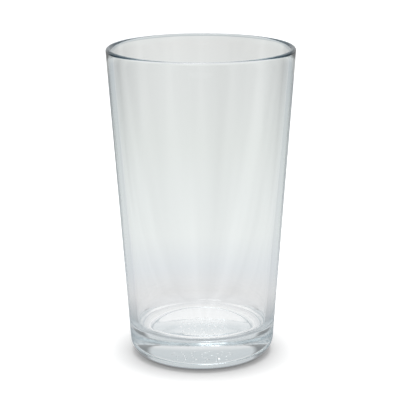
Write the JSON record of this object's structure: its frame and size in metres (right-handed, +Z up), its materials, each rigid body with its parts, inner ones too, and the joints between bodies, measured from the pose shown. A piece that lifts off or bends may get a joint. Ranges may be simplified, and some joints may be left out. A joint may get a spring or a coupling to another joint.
{
  "type": "mixing glass",
  "caption": "Tapered pressed-glass bar tumbler with a rounded rim, a thick clear base and a shallow recess under the foot, for stirring and shaking drinks.",
  "frame": {"origin": "on the axis, in the plane of the foot that the glass stands on", "axes": "+Z up along the axis of the glass, from the foot to the mouth; X and Y are level and the shape is round about Z"},
  "size_m": [0.0888, 0.0888, 0.149],
  "materials": {
    "clear_glass": "clear soda-lime glass, fire-polished, with a faint cool green tint"
  },
  "bodies": {
    "root": {"glass": "clear_glass"}
  },
  "joints": []
}
